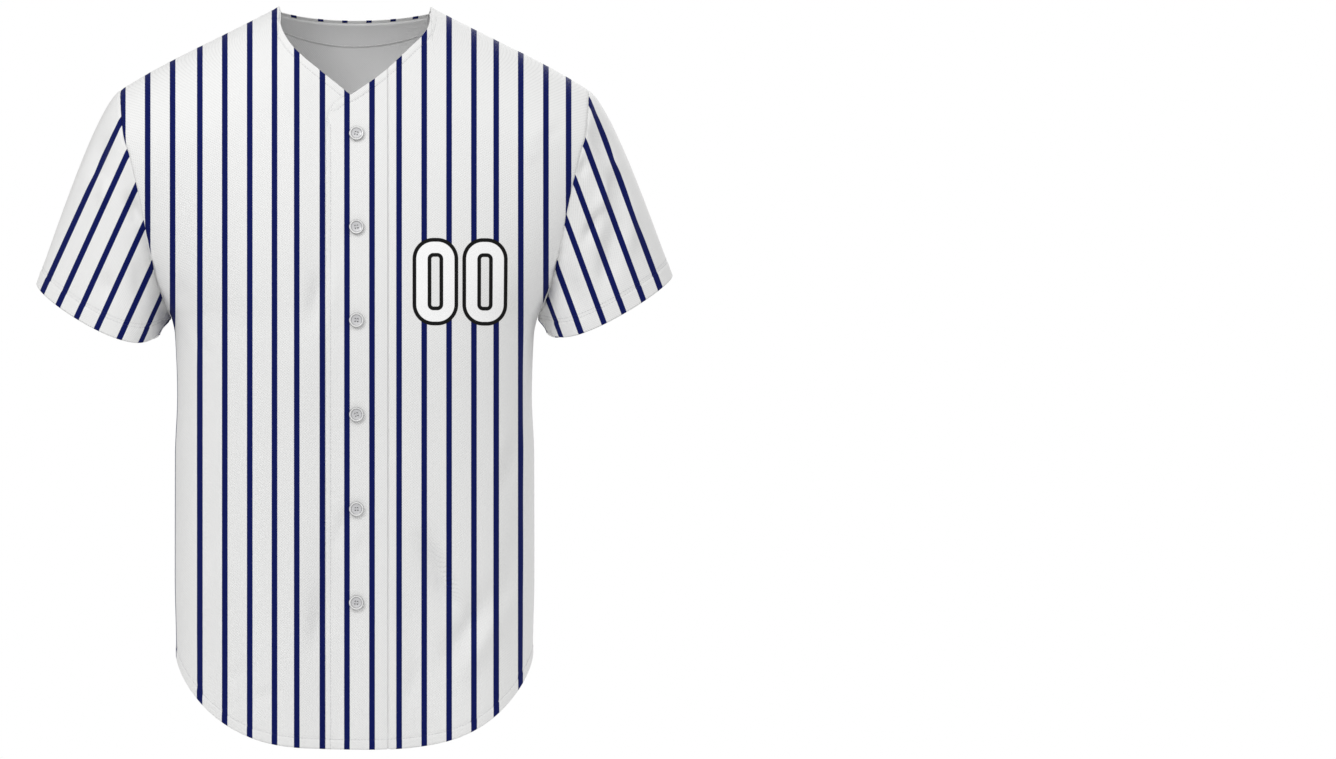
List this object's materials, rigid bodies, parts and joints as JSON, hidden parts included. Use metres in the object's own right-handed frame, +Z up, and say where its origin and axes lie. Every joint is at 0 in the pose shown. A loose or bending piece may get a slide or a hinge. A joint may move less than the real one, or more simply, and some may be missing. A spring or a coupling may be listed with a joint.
{
  "type": "baseball jersey",
  "caption": "Short-sleeved V-neck baseball jersey, filled out and hollow, with a buttoned front placket, set-in sleeves and a curved shirt-tail hem.",
  "frame": {"origin": "midway between the shoulders, at the height where the neck meets them", "axes": "+Z up, the front faces -Y, +X towards the wearer's left"},
  "size_m": [0.6668, 0.2494, 0.7716],
  "materials": {
    "jersey_cloth": "white double-knit mesh with navy pinstripes",
    "jersey_inside": "plain unprinted knit",
    "button": "pearly white, four holes"
  },
  "bodies": {
    "root": {"back": "jersey_cloth", "front_left": "jersey_cloth", "front_right": "jersey_cloth", "placket": "jersey_cloth", "neck_facing": "jersey_inside", "sleeve_left": "jersey_cloth", "sleeve_right": "jersey_cloth", "button_1": "button", "button_2": "button", "button_3": "button", "button_4": "button", "button_5": "button", "button_6": "button"}
  },
  "joints": []
}
